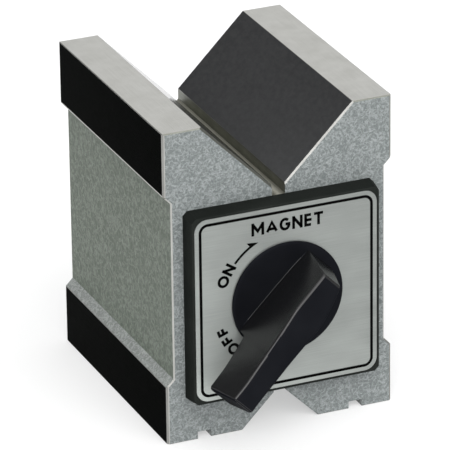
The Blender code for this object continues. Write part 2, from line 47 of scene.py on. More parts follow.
# Block, its outer size as the frame has it
RIGHT_LOW, RIGHT_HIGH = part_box("right_pole")
HALF_WIDTH = RIGHT_HIGH.x
HEIGHT = RIGHT_HIGH.z
FRONT = RIGHT_LOW.y
BACK = RIGHT_HIGH.y
HALF_SLOT = RIGHT_LOW.x
LAND = 12.0 * MM
V_ROOT = HEIGHT - (HALF_WIDTH - LAND - HALF_SLOT)
GROOVE_DEPTH = 3.2 * MM
GROOVE_SAG = 1.0 * MM
UPPER_BAND = 19.1 * MM
LOWER_BAND = 17.8 * MM
RECESS = 2.2 * MM
FOOT_WIDTH = 23.2 * MM
FOOT_SLOT_X = 23.6 * MM
FOOT_SLOT_HALF = 2.05 * MM
FOOT_SLOT_DEPTH = 2.2 * MM
CORNER_STEPS = 3

# Looks of the bare ground faces
GROUND = {"v_face", "land", "band", "foot"}

# Chamfers at the block's front end, and how large those at its back are beside them
BAND_CHAMFER = 0.7 * MM
SIDE_CHAMFER = 0.4 * MM
LEFT_V_CHAMFER = 0.7 * MM
RIGHT_V_CHAMFER = 0.45 * MM
LIP_DEPTH = 0.2 * MM
BACK_SHARE = 0.25

# Parts round the bore
PLATE_LOW, PLATE_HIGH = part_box("nameplate")
BEZEL_LOW, BEZEL_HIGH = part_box("front_bezel")
COVER_LOW, COVER_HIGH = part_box("rear_cover")
PLATE_HALF = (PLATE_HIGH.x - PLATE_LOW.x) / 2
AXIS_Z = (PLATE_LOW.z + PLATE_HIGH.z) / 2
BORE_RADIUS = 18.0 * MM
SEAT_RADIUS = 24.2 * MM
FRONT_SEAT = 4.8 * MM
REAR_SEAT = 6.5 * MM
SCREW_CIRCLE = 21.0 * MM
BEZEL_SCREW_OFFSET = 23.0 * MM
THREAD_RADIUS = 1.6 * MM
PLATE_HOLE = 10.0 * MM
SEAT_GAP = 0.12 * MM

# How far a cutter runs past the face that it opens
PAST = 1.0 * MM

# Direction of the lever at rest, as an angle from +x, and unit vectors along and across it
LEVER_ANGLE = math.radians(225.0)
LEVER_ALONG = Vector((math.cos(LEVER_ANGLE), 0.0, math.sin(LEVER_ANGLE)))
LEVER_ACROSS = Vector((-LEVER_ALONG.z, 0.0, LEVER_ALONG.x))


# Meshes

def new_piece(name, builder, materials):
    """A mesh object from a bmesh, in the frame's own coordinates."""
    bmesh.ops.recalc_face_normals(builder, faces=builder.faces)
    mesh = bpy.data.meshes.new(name)
    builder.to_mesh(mesh)
    builder.free()
    for material in materials:
        mesh.materials.append(material)
    piece = bpy.data.objects.new(name, mesh)
    bpy.context.scene.collection.objects.link(piece)
    return piece


def shade(piece, angle=32.0):
    """Smooth shading that keeps flat faces flat and edges over the angle sharp."""
    piece.data.shade_smooth()
    piece.data.set_sharp_from_angle(angle=math.radians(angle))
    normals = piece.modifiers.new("weighted_normals", "WEIGHTED_NORMAL")
    normals.keep_sharp = True


def place(piece, body, replaced=()):
    shade(piece)
    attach(piece, body)
    if replaced:
        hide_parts(*replaced)
    return piece


def cut(piece, builder, operation="DIFFERENCE"):
    """Cuts a bmesh out of a piece, or joins it on, for good."""
    tool = new_piece(piece.name + "_tool", builder, list(piece.data.materials))
    modifier = piece.modifiers.new("cut", "BOOLEAN")
    modifier.operation = operation
    modifier.solver = "EXACT"
    modifier.object = tool
    graph = bpy.context.evaluated_depsgraph_get()
    result = bpy.data.meshes.new_from_object(piece.evaluated_get(graph))
    piece.modifiers.clear()
    old = piece.data
    piece.data = result
    result.name = piece.name
    bpy.data.meshes.remove(old)
    bpy.data.objects.remove(tool)


def arc(center, radius, start, end, steps):
    points = []
    for step in range(steps + 1):
        angle = math.radians(start + (end - start) * step / steps)
        points.append((center[0] + radius * math.cos(angle), center[1] + radius * math.sin(angle)))
    return points


def add_loft(builder, rings, closed=False):
    """Rings of points with equal counts, skinned, and capped or closed back onto the first."""
    made = [[builder.verts.new(point) for point in ring] for ring in rings]
    if closed:
        made.append(made[0])
    else:
        builder.faces.new(made[0])
        builder.faces.new(list(reversed(made[-1])))
    for first, second in zip(made, made[1:]):
        for index in range(len(first)):
            following = (index + 1) % len(first)
            builder.faces.new((first[index], second[index], second[following], first[following]))


def add_prism(builder, outline, start, end):
    add_loft(builder, [[(x, y, z) for x, z in outline] for y in (start, end)])


def add_turned(builder, outline, segments, center=(0.0, 0.0)):
    """(radius, y) points turned about the bore's axis, or a line beside it."""
    rings = []
    for radius, y in outline:
        points = arc((center[0], AXIS_Z + center[1]), radius, 0, 360, segments)[:-1]
        rings.append([(x, y, z) for x, z in points])
    add_loft(builder, rings)


def rounded_square(half, corner, steps):
    """Points of a square centred on the bore's axis; one step makes cut corners."""
    reach = half - corner
    middles = ((reach, reach), (-reach, reach), (-reach, -reach), (reach, -reach))
    points = []
    for quarter, (x, z) in enumerate(middles):
        points += arc((x, AXIS_Z + z), corner, 90 * quarter, 90 * quarter + 90, steps)
    return points


def square_pattern(offset):
    return [(x, z) for x in (-offset, offset) for z in (-offset, offset)]


def round_corner(before, corner, after, radius, steps):
    """Points of the arc that rounds one corner of an outline."""
    corner = Vector(corner)
    back = (Vector(before) - corner).normalized()
    ahead = (Vector(after) - corner).normalized()
    half = back.angle(ahead) / 2
    reach = radius / math.tan(half)
    center = corner + (back + ahead).normalized() * (radius / math.sin(half))
    start = corner + back * reach - center
    end = corner + ahead * reach - center
    turn = start.angle(end)
    made = []
    for step in range(steps + 1):
        share = step / steps
        first = math.sin((1 - share) * turn) / math.sin(turn)
        second = math.sin(share * turn) / math.sin(turn)
        made.append(center + start * first + end * second)
    return made


# Materials

# Sockets of a Mix node that mixes colours
MIX_FIRST = 6
MIX_SECOND = 7
MIX_RESULT = 2


class Surface:
    """A Principled material, with helpers for the nodes that feed it."""

    def __init__(self, name, roughness, metallic=0.0, specular=0.5, grazing=1.0):
        self.material = bpy.data.materials.new(name)
        self.material.use_nodes = True
        self.tree = self.material.node_tree
        self.shader = self.tree.nodes["Principled BSDF"]
        self.shader.inputs["Roughness"].default_value = roughness
        self.shader.inputs["Metallic"].default_value = metallic
        self.shader.inputs["Specular IOR Level"].default_value = specular
        self.shader.inputs["Specular Tint"].default_value = (grazing, grazing, grazing, 1.0)
        self.place = self.node("ShaderNodeTexCoord").outputs["Object"]

    def node(self, kind, **settings):
        made = self.tree.nodes.new(kind)
        for key, value in settings.items():
            setattr(made, key, value)
        return made

    def link(self, output, target):
        self.tree.links.new(output, target)

    def scaled(self, x, y, z):
        """Object coordinates divided by a size along each axis, in millimetres."""
        made = self.node("ShaderNodeVectorMath", operation="MULTIPLY")
        self.link(self.place, made.inputs[0])
        made.inputs[1].default_value = (1 / (x * MM), 1 / (y * MM), 1 / (z * MM))
        return made.outputs[0]

    def along(self, axis):
        """One of the object coordinates, x, y or z."""
        made = self.node("ShaderNodeSeparateXYZ")
        self.link(self.place, made.inputs[0])
        return made.outputs[axis]

    def noise(self, vector, detail=2.0, roughness=0.5, distortion=0.0):
        made = self.node("ShaderNodeTexNoise")
        self.link(vector, made.inputs["Vector"])
        made.inputs["Scale"].default_value = 1.0
        made.inputs["Detail"].default_value = detail
        made.inputs["Roughness"].default_value = roughness
        made.inputs["Distortion"].default_value = distortion
        return made.outputs["Fac"]

    def span(self, value, low, high, to_low=0.0, to_high=1.0):
        """The value's range from low to high, spread over another range and held at its ends."""
        made = self.node("ShaderNodeMapRange")
        self.link(value, made.inputs["Value"])
        made.inputs["From Min"].default_value = low
        made.inputs["From Max"].default_value = high
        made.inputs["To Min"].default_value = to_low
        made.inputs["To Max"].default_value = to_high
        return made.outputs["Result"]

    def blend(self, value, first, second):
        """Colour between two colours, given as triples."""
        made = self.node("ShaderNodeMix", data_type="RGBA")
        self.link(value, made.inputs["Factor"])
        made.inputs[MIX_FIRST].default_value = (*first, 1.0)
        made.inputs[MIX_SECOND].default_value = (*second, 1.0)
        return made.outputs[MIX_RESULT]

    def mixed(self, first, second, share):
        """Two values added up, the first by its share and the second by the rest."""
        rest = self.math("MULTIPLY", second, 1 - share)
        return self.math("ADD", self.math("MULTIPLY", first, share), rest)

    def math(self, operation, first, second):
        made = self.node("ShaderNodeMath", operation=operation)
        for index, value in enumerate((first, second)):
            if isinstance(value, (int, float)):
                made.inputs[index].default_value = value
            else:
                self.link(value, made.inputs[index])
        return made.outputs[0]

    def finish(self, color, roughness=None, height=None, depth=0.0):
        """Connects the colour, the roughness, and a height in millimetres as bump."""
        self.link(color, self.shader.inputs["Base Color"])
        if roughness is not None:
            self.link(roughness, self.shader.inputs["Roughness"])
        if height is not None:
            bump = self.node("ShaderNodeBump")
            bump.inputs["Strength"].default_value = 1.0
            bump.inputs["Distance"].default_value = depth * MM
            self.link(height, bump.inputs["Height"])
            self.link(bump.outputs["Normal"], self.shader.inputs["Normal"])
        return self.material


def hammered_paint(name, dark, light, fold, bump):
    """Silver-grey hammered enamel: light veins and bumps, of those sizes in millimetres."""
    surface = Surface(name, 0.45, 0.0, 0.2)
    folds = surface.noise(surface.scaled(fold, fold, fold), 2.0, 0.55, 0.6)
    middle = surface.math("ABSOLUTE", surface.math("SUBTRACT", folds, 0.5), 0.0)
    veins = surface.span(middle, 0.0, 0.075, 1.0, 0.0)
    bumps = surface.noise(surface.scaled(bump, bump, bump), 2.0, 0.55)
    height = surface.math("ADD", surface.math("MULTIPLY", veins, 0.4), surface.math("MULTIPLY", bumps, 0.9))
    tone = surface.span(height, 0.36, 0.92)
    color = surface.blend(tone, dark, light)
    return surface.finish(color, surface.span(tone, 0.0, 1.0, 0.52, 0.38), height, 0.18)


def ground_steel(name, dark, light, rough_low, rough_high, grazing=1.0, depth=0.01):
    """Ground metal with fine lines along the block's length."""
    surface = Surface(name, rough_low, 1.0, grazing=grazing)
    lines = surface.noise(surface.scaled(0.09, 14.0, 0.09), 2.0, 0.6)
    clouds = surface.noise(surface.scaled(7.0, 7.0, 7.0), 3.0, 0.55)
    tone = surface.span(surface.mixed(lines, clouds, 0.55), 0.35, 0.65)
    color = surface.blend(tone, dark, light)
    return surface.finish(color, surface.span(tone, 0.0, 1.0, rough_high, rough_low), lines, depth)


def ground_flank(name, rough_low, rough_high):
    """Dark ground face of the V, lighter towards its root at the front."""
    surface = Surface(name, rough_low, 1.0)
    lines = surface.noise(surface.scaled(0.09, 14.0, 0.09), 2.0, 0.6)
    clouds = surface.noise(surface.scaled(1.6, 2.4, 1.6), 3.0, 0.7)
    # Painted reflection: depth and front make the face lighter towards its root at the front end.
    depth = surface.span(surface.along(2), V_ROOT, HEIGHT, 1.0, 0.0)
    front = surface.span(surface.along(1), FRONT, BACK, 1.0, 0.0)
    grain = surface.span(surface.mixed(lines, clouds, 0.3), 0.38, 0.62, 0.0, 0.4)
    tone = surface.math("ADD", grain, surface.math("MULTIPLY", depth, front))
    # These dark colours are a painted dark reflection, not the steel's own tone.
    color = surface.blend(surface.span(tone, 0.0, 1.4), (0.109, 0.111, 0.115), (0.219, 0.223, 0.226))
    return surface.finish(color, surface.span(lines, 0.3, 0.7, rough_low, rough_high), lines, 0.01)


def brushed_aluminium_painted_light():
    """Plate finish with long fine lines across the plate, lighter towards one lower corner."""
    surface = Surface("brushed_aluminium_painted_light", 0.5, 0.55, 0.3)
    lines = surface.noise(surface.scaled(18.0, 1.0, 0.10), 3.0, 0.65)
    clouds = surface.noise(surface.scaled(16.0, 16.0, 9.0), 2.0, 0.5)
    # Painted light: side and low make the plate lighter towards its lower left corner.
    side = surface.span(surface.along(0), PLATE_LOW.x, PLATE_HIGH.x, 2.0, 0.0)
    low = surface.span(surface.along(2), PLATE_LOW.z, PLATE_HIGH.z, 1.0, 0.0)
    grain = surface.span(surface.mixed(lines, clouds, 0.6), 0.33, 0.67)
    tone = surface.math("ADD", grain, surface.math("MULTIPLY", side, low))
    color = surface.blend(surface.span(tone, 0.0, 3.0), (0.204, 0.216, 0.207), (0.492, 0.523, 0.501))
    return surface.finish(color, surface.span(lines, 0.3, 0.7, 0.44, 0.54), lines, 0.02)


def turned_metal(name, dark, light, roughness):
    """Metal with fine circular tool marks round the bore's axis."""
    surface = Surface(name, roughness, 1.0)
    centred = surface.node("ShaderNodeVectorMath", operation="MULTIPLY_ADD")
    surface.link(surface.place, centred.inputs[0])
    centred.inputs[1].default_value = (1.0, 0.0, 1.0)
    centred.inputs[2].default_value = (0.0, 0.0, -AXIS_Z)
    length = surface.node("ShaderNodeVectorMath", operation="LENGTH")
    surface.link(centred.outputs[0], length.inputs[0])
    ring_width = 0.22 * MM
    rings = surface.node("ShaderNodeTexNoise", noise_dimensions="1D")
    surface.link(surface.math("MULTIPLY", length.outputs["Value"], 1 / ring_width), rings.inputs["W"])
    rings.inputs["Scale"].default_value = 1.0
    rings.inputs["Detail"].default_value = 2.0
    marks = rings.outputs["Fac"]
    clouds = surface.noise(surface.scaled(5.0, 5.0, 5.0), 3.0)
    tone = surface.span(surface.mixed(marks, clouds, 0.6), 0.3, 0.7)
    color = surface.blend(tone, dark, light)
    rough = surface.span(tone, 0.0, 1.0, roughness + 0.08, roughness - 0.06)
    return surface.finish(color, rough, marks, 0.012)


def cast_metal(name, dark, light, roughness, metallic=1.0):
    """Plain machined or rolled metal with small stains."""
    surface = Surface(name, roughness, metallic)
    grain = surface.noise(surface.scaled(0.35, 0.35, 0.35), 3.0, 0.6)
    clouds = surface.noise(surface.scaled(3.5, 3.5, 3.5), 3.0, 0.55)
    tone = surface.span(surface.mixed(grain, clouds, 0.5), 0.33, 0.67)
    color = surface.blend(tone, dark, light)
    rough = surface.span(tone, 0.0, 1.0, roughness + 0.1, roughness - 0.05)
    return surface.finish(color, rough, grain, 0.02)


def moulded_plastic(name, dark, light, roughness, grain_size, depth,
                    specular=0.5, metallic=0.0, grazing=1.0):
    """Fine-grained plastic or rubber; the deeper the grain, the more its roughness varies."""
    surface = Surface(name, roughness, metallic, specular, grazing)
    spread = 10 * depth
    grain = surface.noise(surface.scaled(grain_size, grain_size, grain_size), 3.0, 0.6)
    clouds = surface.noise(surface.scaled(11.0, 11.0, 11.0), 2.0, 0.5)
    color = surface.blend(surface.span(clouds, 0.35, 0.65), dark, light)
    rough = surface.span(grain, 0.3, 0.7, roughness - spread, roughness + spread)
    return surface.finish(color, rough, grain, depth)


def make_materials():
    return {
        "paint": hammered_paint("hammered_paint", (0.140, 0.156, 0.155), (0.300, 0.323, 0.322), 1.5, 0.55),
        # The recess sides take a darker, greener copy of the same paint: painted shade.
        "side": hammered_paint("hammered_side_painted_shade", (0.092, 0.112, 0.088), (0.160, 0.191, 0.155), 2.4, 0.95),
        # The slope facing up takes a lighter copy of the same paint: painted light.
        "slope": hammered_paint("hammered_slope_painted_light", (0.200, 0.215, 0.205), (0.390, 0.410, 0.400), 1.5, 0.55),
        "land": ground_steel("ground_land", (0.60, 0.600, 0.565), (0.78, 0.780, 0.745), 0.30, 0.42),
        # The bands' near-black colour and low grazing tint are a painted dark reflection: polished steel
        # that shows a dark surround from every side.
        "band": ground_steel("polished_band_painted_dark_reflection", (0.005, 0.0055, 0.0052), (0.009, 0.0095, 0.009),
                             0.16, 0.26, grazing=0.44, depth=0.004),
        # The V faces' dark colour is a painted dark reflection, with a painted reflection lighter towards
        # the root at the front.
        "v_face": ground_flank("ground_v_face_painted_reflection", 0.36, 0.46),
        "v_smooth": ground_flank("smooth_v_face_painted_reflection", 0.12, 0.16),
        "edge": ground_steel("worn_edge", (0.26, 0.26, 0.25), (0.34, 0.34, 0.325), 0.34, 0.46),
        # The lip's bright colour is partly bare metal and partly a painted highlight on edges that catch
        # the light.
        "lip": ground_steel("lip_painted_highlight", (0.42, 0.42, 0.40), (0.52, 0.52, 0.50), 0.34, 0.46),
        # The groove look's dark colour is painted shade, for the walls inside the groove and for the dark
        # chamfers that take it.
        "groove": ground_steel("groove_wall_painted_shade", (0.15, 0.155, 0.135), (0.22, 0.225, 0.20), 0.38, 0.5),
        "foot": ground_steel("ground_foot", (0.42, 0.42, 0.40), (0.58, 0.58, 0.56), 0.30, 0.42),
        "plate": brushed_aluminium_painted_light(),
        "ink": moulded_plastic("printed_ink", (0.0020, 0.0020, 0.0020), (0.0035, 0.0035, 0.0035),
                               0.5, 0.2, 0.003, specular=0.0),
        "bezel": moulded_plastic("bezel_plastic", (0.0165, 0.0190, 0.0170), (0.0210, 0.0235, 0.0215),
                                 0.42, 0.3, 0.012, specular=0.0, metallic=0.5, grazing=0.6),
        "knob": moulded_plastic("knob_plastic", (0.0045, 0.0047, 0.0052), (0.0060, 0.0062, 0.0066),
                                0.26, 0.35, 0.0008, specular=0.45),
        "knob_face": moulded_plastic("knob_face_plastic",
                                     (0.0084, 0.0090, 0.0112), (0.0106, 0.0113, 0.0138),
                                     0.42, 0.35, 0.006, specular=0.0, metallic=0.5, grazing=0.5),
        "cover": turned_metal("turned_aluminium", (0.42, 0.43, 0.42), (0.62, 0.63, 0.62), 0.30),
        "brass": turned_metal("turned_brass", (0.52, 0.36, 0.15), (0.74, 0.55, 0.27), 0.30),
        "strip": ground_steel("spacer_strip", (0.42, 0.415, 0.35), (0.60, 0.594, 0.51), 0.34, 0.46),
        "bronze": turned_metal("turned_bronze", (0.40, 0.26, 0.13), (0.58, 0.41, 0.24), 0.36),
        "steel": turned_metal("turned_steel", (0.42, 0.42, 0.42), (0.62, 0.62, 0.62), 0.28),
        "iron": cast_metal("soft_iron", (0.24, 0.24, 0.24), (0.38, 0.38, 0.39), 0.42),
        "magnet": cast_metal("sintered_magnet", (0.045, 0.045, 0.05), (0.085, 0.085, 0.09),
                             0.55, metallic=0.6),
        "screw": cast_metal("zinc_screw", (0.38, 0.385, 0.39), (0.58, 0.585, 0.59), 0.30),
        "rubber": moulded_plastic("seal_rubber", (0.010, 0.010, 0.010), (0.016, 0.016, 0.015),
                                  0.72, 0.4, 0.02),
        "washer": moulded_plastic("washer_nylon", (0.60, 0.60, 0.56), (0.68, 0.68, 0.64),
                                  0.45, 0.5, 0.01),
    }


CAD_LOOKS = (
    ("steel", ("shaft", "stop_pin", "front_drive_pin", "rear_drive_pin")),
    ("screw", ("grub_screw", "bezel_screw", "front_plate_screw", "front_rotor_screw", "rear_rotor_screw")),
    ("brass", ("front_bearing_plate", "front_rotor_disc", "rear_rotor_disc")),
    ("bronze", ("front_bush", "rear_bush")),
    ("iron", ("upper_shoe", "lower_shoe")),
    ("magnet", ("rotor_magnet",)),
    ("rubber", ("shaft_seal", "front_gasket", "rear_gasket")),
    ("washer", ("front_thrust_washer", "rear_thrust_washer")),
)


def dress_cad_nodes(looks):
    """Better materials for the inner CAD parts, which stay as they are."""
    for look, starts in CAD_LOOKS:
        for name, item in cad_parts.items():
            if name.startswith(starts):
                item.data.materials.clear()
                item.data.materials.append(looks[look])


# Block

def pole_corners(v_chamfer):
    """Right half of the block from the front, clockwise.

    Each is (x, z, corner radius, chamfer of the side that follows, look of that side).
    """
    inner = HALF_WIDTH - FOOT_WIDTH
    meet = math.degrees(math.asin(HALF_SLOT / BORE_RADIUS))
    corners = [
        (inner, 0.0, 0.15 * MM, 0.25 * MM, "paint"),
        (HALF_SLOT, inner - HALF_SLOT, 0.1 * MM, 0.0, "groove"),
    ]
    for x, z in arc((0.0, AXIS_Z), BORE_RADIUS, -90 + meet, 90 - meet, 36):
        corners.append((x, z, 0.0, 0.0, "groove"))
    recess = HALF_WIDTH - RECESS
    corners += [
        (HALF_SLOT, V_ROOT, 0.15 * MM, v_chamfer, "v_face"),
        (HALF_WIDTH - LAND, HEIGHT, 0.2 * MM, 0.35 * MM, "land"),
        (HALF_WIDTH, HEIGHT, 0.2 * MM, BAND_CHAMFER, "band"),
        (HALF_WIDTH, HEIGHT - UPPER_BAND, 0.9 * MM, SIDE_CHAMFER, "side"),
        (recess, HEIGHT - UPPER_BAND - RECESS, 0.3 * MM, SIDE_CHAMFER, "side"),
        (recess, LOWER_BAND + RECESS, 0.3 * MM, SIDE_CHAMFER, "slope"),
        (HALF_WIDTH, LOWER_BAND, 0.25 * MM, BAND_CHAMFER, "band"),
        (HALF_WIDTH, 0.0, 0.15 * MM, 0.15 * MM, "foot"),
    ]
    slot_outer = FOOT_SLOT_X + FOOT_SLOT_HALF
    slot_inner = FOOT_SLOT_X - FOOT_SLOT_HALF
    for x, z in ((slot_outer, 0.0), (slot_outer, FOOT_SLOT_DEPTH), (slot_inner, FOOT_SLOT_DEPTH)):
        corners.append((x, z, 0.1 * MM, 0.1 * MM, "paint"))
    corners.append((slot_inner, 0.0, 0.1 * MM, 0.15 * MM, "foot"))
    return corners


def inset_outline(outline, insets):
    """A closed outline, listed clockwise, with each side moved in by its own distance."""
    straight = 0.02
    made = []
    for index, point in enumerate(outline):
        before = (point - outline[index - 1]).normalized()
        after = (outline[(index + 1) % len(outline)] - point).normalized()
        first = Vector((before.y, -before.x))
        second = Vector((after.y, -after.x))
        first_inset = insets[index - 1]
        second_inset = insets[index]
        cross = first.x * second.y - first.y * second.x
        if abs(cross) < straight:
            move = (first + second).normalized() * (first_inset + second_inset) / 2
        else:
            move = Vector((first_inset * second.y - second_inset * first.y,
                           second_inset * first.x - first_inset * second.x)) / cross
        made.append(point + move)
    return made


def pole_section(corners, depth, share):
    """The pole's outline, corners rounded, at a depth inside an end with that share of the chamfers."""
    smallest = 0.03 * MM
    insets = [max(0.0, chamfer - depth) * share for _, _, _, chamfer, _ in corners]
    outline = inset_outline([Vector(corner[:2]) for corner in corners], insets)
    points = []
    for index, (_, _, rounding, _, _) in enumerate(corners):
        if rounding == 0.0:
            points.append(outline[index])
            continue
        radius = max(rounding - max(insets[index - 1], insets[index]), smallest)
        after = outline[(index + 1) % len(outline)]
        points += round_corner(outline[index - 1], outline[index], after, radius, CORNER_STEPS)
    return points


def pole_sides(corners):
    """The chamfer and the look of each side of the rounded outline."""
    sides = []
    for index, (_, _, rounding, chamfer, look) in enumerate(corners):
        chamfer_before, look_before = corners[index - 1][3:]
        if rounding > 0.0:
            joint = "edge" if {look_before, look} & GROUND else look
            # The rounding from a band into the recess takes the lip look, partly a painted highlight.
            if (look_before, look) == ("band", "side"):
                joint = "lip"
            sides += [(max(chamfer_before, chamfer), joint)] * CORNER_STEPS
        sides.append((chamfer, look))
    return sides


def cut_seats(piece):
    """The round seats for the bearing plate and for the rear cover."""
    builder = bmesh.new()
    add_turned(builder, [(SEAT_RADIUS, FRONT - PAST), (SEAT_RADIUS, FRONT + FRONT_SEAT)], 96)
    add_turned(builder, [(SEAT_RADIUS, BACK - REAR_SEAT), (SEAT_RADIUS, BACK + PAST)], 96)
    cut(piece, builder)


def cut_tapped_holes(piece, side):
    """Holes for the screws of the bezel, the bearing plate and the rear cover, on one side."""
    depth = 9.0 * MM
    front_floor = FRONT + FRONT_SEAT
    back_floor = BACK - REAR_SEAT
    front_hole = [(THREAD_RADIUS, front_floor - PAST), (THREAD_RADIUS, front_floor + depth)]
    back_hole = [(THREAD_RADIUS, back_floor - depth), (THREAD_RADIUS, back_floor + PAST)]
    builder = bmesh.new()
    for x, z in square_pattern(BEZEL_SCREW_OFFSET):
        if x * side > 0:
            add_turned(builder, [(THREAD_RADIUS, FRONT - PAST), (THREAD_RADIUS, FRONT + depth)], 16, (x, z))
    for x, z in square_pattern(SCREW_CIRCLE / math.sqrt(2)):
        if x * side > 0:
            add_turned(builder, front_hole, 16, (x, z))
            add_turned(builder, back_hole, 16, (x, z))
    cut(piece, builder)


def end_look(chamfer, depth, kind, side):
    """Look of a face at a depth inside the pole's end.

    Past its chamfer a side has its own look. The chamfer is bright along the recess, a painted
    highlight; it is painted beside the end's paint, and bare beside ground steel: dark at the land, at the
    right pole's bands and at the left pole's other faces, which is painted shade, and brightest at the lip
    of a wide one, partly bare metal and partly a painted highlight. Chamfers alike on the two poles so get
    shaded and lit looks.
    """
    if depth >= chamfer:
        return kind
    # A painted highlight along the recess edge.
    if kind == "side":
        return "lip"
    if kind == "slope":
        return "edge"
    if kind not in GROUND and kind not in ("edge", "lip"):
        return "paint"
    # Painted shade on these chamfers.
    if kind == "land" or (kind == "band") == (side > 0):
        return "groove"
    # The lip of a wide chamfer is partly a painted highlight.
    return "lip" if chamfer >= BAND_CHAMFER and depth < LIP_DEPTH else "edge"


def make_pole(name, side, v_chamfer, looks):
    """Half of the block, its ends chamfered side by side and its ground faces told apart."""
    order = ("paint", "side", "slope", "band", "land", "v_face", "foot", "groove", "edge", "lip")
    skins = [looks[key] for key in order]
    if side < 0:
        skins[order.index("v_face")] = looks["v_smooth"]
    corners = pole_corners(v_chamfer)
    sides = pole_sides(corners)
    depths = sorted({0.0, LIP_DEPTH} | {chamfer for chamfer, _ in sides})
    levels = [(depth, FRONT + depth, 1.0) for depth in depths]
    levels += [(depth, BACK - depth * BACK_SHARE, BACK_SHARE) for depth in reversed(depths)]
    builder = bmesh.new()
    made = []
    for depth, y, share in levels:
        made.append([builder.verts.new((side * x, y, z)) for x, z in pole_section(corners, depth, share)])
    builder.faces.new(made[0])
    builder.faces.new(made[-1])
    for level in range(len(levels) - 1):
        depth = min(levels[level][0], levels[level + 1][0])
        for index, (chamfer, kind) in enumerate(sides):
            following = (index + 1) % len(sides)
            first, second = made[level], made[level + 1]
            face = builder.faces.new((first[index], second[index], second[following], first[following]))
            face.material_index = order.index(end_look(chamfer, depth, kind, side))
    piece = new_piece(name + "_body", builder, skins)
    cut_seats(piece)
    cut_tapped_holes(piece, side)
    return place(piece, "block", (name,))


def make_strips(looks):
    """Brass strips in the slot, over and under the bore, tight against both poles."""
    half = HALF_SLOT
    meet = math.degrees(math.asin(half / BORE_RADIUS))
    top = V_ROOT - GROOVE_DEPTH
    hollow = (half * half + GROOVE_SAG * GROOVE_SAG) / (2 * GROOVE_SAG)
    spread = math.degrees(math.asin(half / hollow))
    upper = arc((0.0, AXIS_Z), BORE_RADIUS, 90 - meet, 90 + meet, 4)
    upper += arc((0.0, top - GROOVE_SAG + hollow), hollow, -90 - spread, -90 + spread, 14)
    lower = arc((0.0, AXIS_Z), BORE_RADIUS, -90 - meet, -90 + meet, 4)
    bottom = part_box("lower_spacer")[0].z
    lower += [(half, bottom), (-half, bottom)]
    for name, outline in (("upper_spacer", upper), ("lower_spacer", lower)):
        builder = bmesh.new()
        add_prism(builder, outline, FRONT, BACK)
        piece = new_piece(name + "_strip", builder, [looks["strip"]])
        cut_seats(piece)
        place(piece, "block", (name,))


# Front of the block

def make_bezel(looks):
    """Drafted plastic frame: cut corners, a rounded front lip and a seat for the plate."""
    front_half = 28.75 * MM
    back_half = (BEZEL_HIGH.x - BEZEL_LOW.x) / 2
    corner = 1.3 * MM
    lip = 0.28 * MM
    front = BEZEL_LOW.y
    sides = [(back_half, FRONT), (front_half, front + lip)]
    sides += [(front_half - 0.3 * lip, front + 0.3 * lip), (front_half - lip, front)]
    rings = [[(x, y, z) for x, z in rounded_square(half, corner, 1)] for half, y in sides]
    builder = bmesh.new()
    add_loft(builder, rings)
    bezel = new_piece("bezel_frame", builder, [looks["bezel"]])

    floor = PLATE_HIGH.y
    seat_half = PLATE_HALF + SEAT_GAP
    seat_corner = 3.9 * MM
    builder = bmesh.new()
    add_prism(builder, rounded_square(seat_half, seat_corner, 12), front - PAST, floor)
    cut(bezel, builder)

    middle = (front + FRONT) / 2
    shaft_hole = 6.6 * MM
    head = 3.1 * MM
    shank = 1.8 * MM
    builder = bmesh.new()
    hole = [
        (PLATE_HOLE, floor - PAST),
        (PLATE_HOLE, middle),
        (shaft_hole, middle),
        (shaft_hole, FRONT + PAST),
    ]
    add_turned(builder, hole, 64)
    sink = [
        (head, floor - PAST),
        (head, floor + 0.3 * MM),
        (shank, floor + 0.3 * MM + head - shank),
        (shank, FRONT + PAST),
    ]
    for x, z in square_pattern(BEZEL_SCREW_OFFSET):
        add_turned(builder, sink, 24, (x, z))
    cut(bezel, builder)
    return place(bezel, "block", ("front_bezel",))


def make_plate(looks):
    """Aluminium plate with softened edges."""
    front = PLATE_LOW.y
    soft = 0.12 * MM
    corner = 3.8 * MM
    sides = ((0.0, PLATE_HIGH.y), (0.0, front + soft), (0.35 * soft, front + 0.35 * soft), (soft, front))
    rings = []
    for inset, y in sides:
        rings.append([(x, y, z) for x, z in rounded_square(PLATE_HALF - inset, corner - inset, 12)])
    builder = bmesh.new()
    add_loft(builder, rings)
    plate = new_piece("nameplate_sheet", builder, [looks["plate"]])
    builder = bmesh.new()
    add_turned(builder, [(PLATE_HOLE, front - PAST), (PLATE_HOLE, PLATE_HIGH.y + PAST)], 64)
    cut(plate, builder)
    return place(plate, "block", ("nameplate",))


# Print on the plate

INK_DEPTH = 0.02 * MM
INK_FACE = PLATE_LOW.y - INK_DEPTH
STROKE = 0.85 * MM
LETTER_FOOT = 19.3 * MM
LETTER_HEIGHT = 3.5 * MM


def make_border(looks):
    """Printed line near the plate's edge."""
    middle = 26.3 * MM
    radius = 2.3 * MM
    half = STROKE / 2
    rings = []
    for offset, y in ((half, PLATE_LOW.y), (half, INK_FACE), (-half, INK_FACE), (-half, PLATE_LOW.y)):
        rings.append([(x, y, z) for x, z in rounded_square(middle + offset, radius + offset, 10)])
    builder = bmesh.new()
    add_loft(builder, rings, closed=True)
    return place(new_piece("nameplate_border", builder, [looks["ink"]]), "block")


